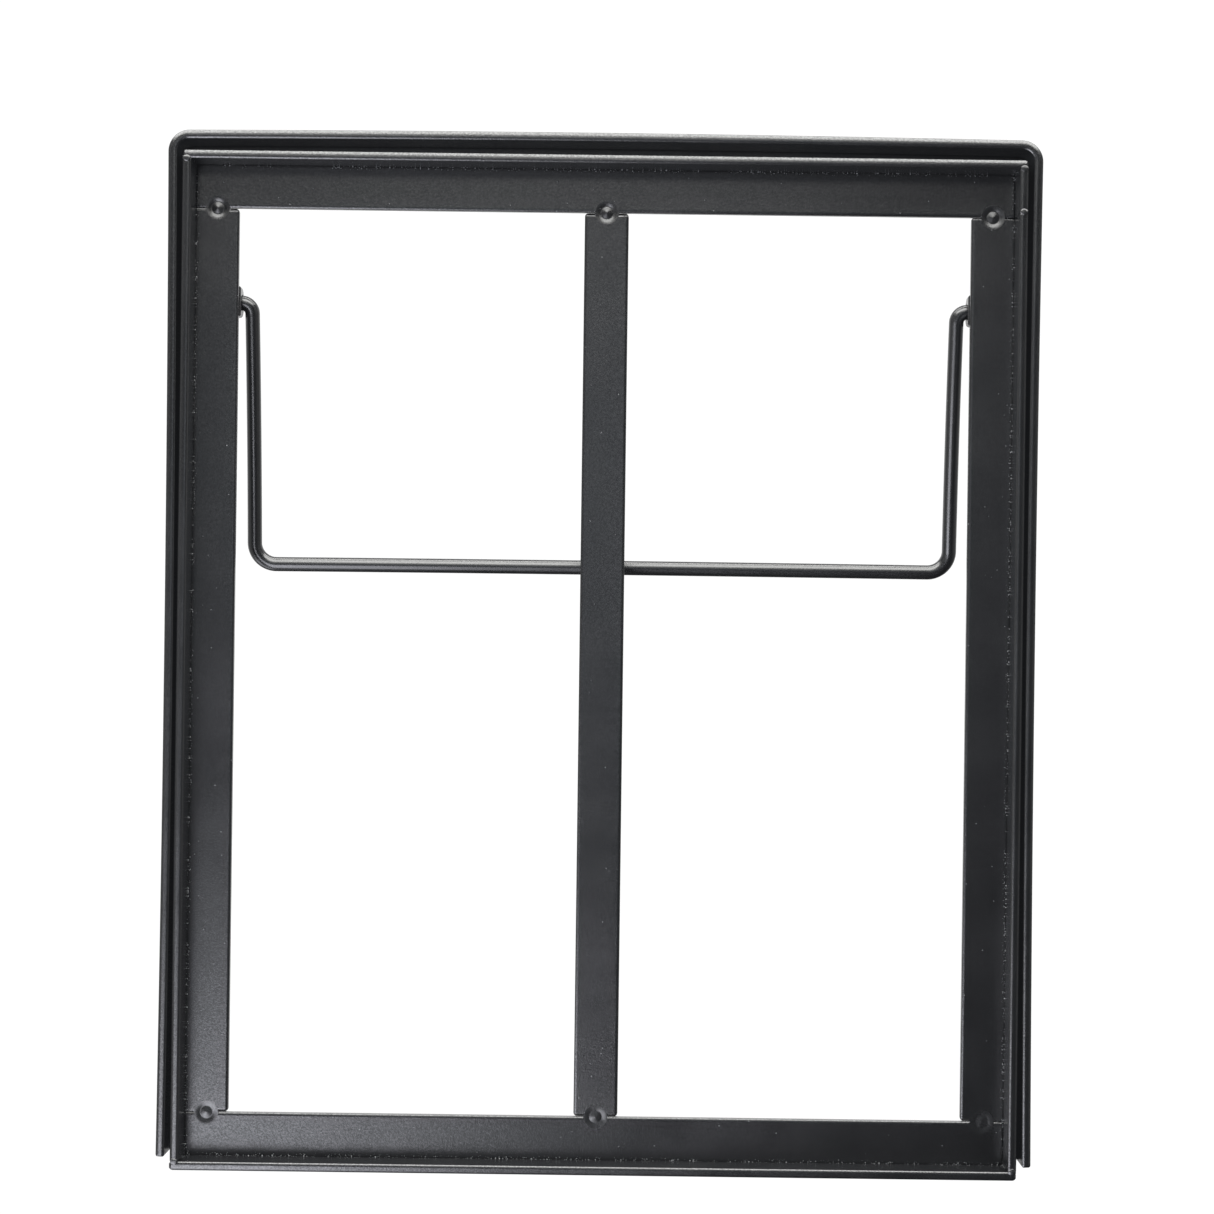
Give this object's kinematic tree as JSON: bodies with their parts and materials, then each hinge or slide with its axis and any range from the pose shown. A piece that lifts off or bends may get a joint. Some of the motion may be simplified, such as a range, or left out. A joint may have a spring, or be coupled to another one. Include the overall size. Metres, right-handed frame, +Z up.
{
  "type": "window security bar",
  "caption": "Welded steel window guard frame: angle-iron tray with a centre bar, a rim strip bent round top and sides, and a swinging wire bail behind.",
  "frame": {"origin": "middle of the bottom rail's underside: half way along its length and half way through the tray's depth", "axes": "+X to the right seen from the open front of the tray, +Y from the open front to the flanges and the bail, +Z up along the stiles"},
  "size_m": [0.492, 0.0724, 0.5862],
  "materials": {
    "frame_coat": "satin",
    "bail_coat": "satin",
    "weld_coat": "satin"
  },
  "bodies": {
    "frame": {"back_strip_left": "frame_coat", "back_strip_right": "frame_coat", "back_strip_top": "frame_coat", "bottom_angle": "frame_coat", "centre_bar": "frame_coat", "corner_filler": "frame_coat", "ear_left": "frame_coat", "ear_right": "frame_coat", "ear_weld_left": "weld_coat", "ear_weld_right": "weld_coat", "left_angle": "frame_coat", "outer_rim": "frame_coat", "right_angle": "frame_coat", "rim_stitch_left_1": "weld_coat", "rim_stitch_left_2": "weld_coat", "rim_stitch_left_3": "weld_coat", "rim_stitch_right_1": "weld_coat", "rim_stitch_right_2": "weld_coat", "rim_stitch_right_3": "weld_coat", "rim_stitch_top_1": "weld_coat", "rim_stitch_top_2": "weld_coat", "rim_stitch_top_3": "weld_coat", "stitch_left_1": "weld_coat", "stitch_left_2": "weld_coat", "stitch_left_3": "weld_coat", "stitch_right_1": "weld_coat", "stitch_right_2": "weld_coat", "stitch_right_3": "weld_coat", "stitch_top_1": "weld_coat", "stitch_top_2": "weld_coat", "stitch_top_3": "weld_coat", "tack_bottom_left": "weld_coat", "tack_bottom_right": "weld_coat", "tack_filler_right": "weld_coat", "tack_top_left": "weld_coat", "tack_top_right": "weld_coat", "top_angle": "frame_coat", "weld_bottom_centre": "weld_coat", "weld_bottom_left": "weld_coat", "weld_bottom_right": "weld_coat", "weld_top_centre": "weld_coat", "weld_top_left": "weld_coat", "weld_top_right": "weld_coat"},
    "bail": {"bail": "bail_coat"}
  },
  "joints": [
    {"name": "bail_swing", "type": "hinge", "parent": "frame", "child": "bail", "pos_m": [0, 0.02375, 0.492], "axis": [1, 0, 0], "range_deg": [-12.5, 164]}
  ]
}
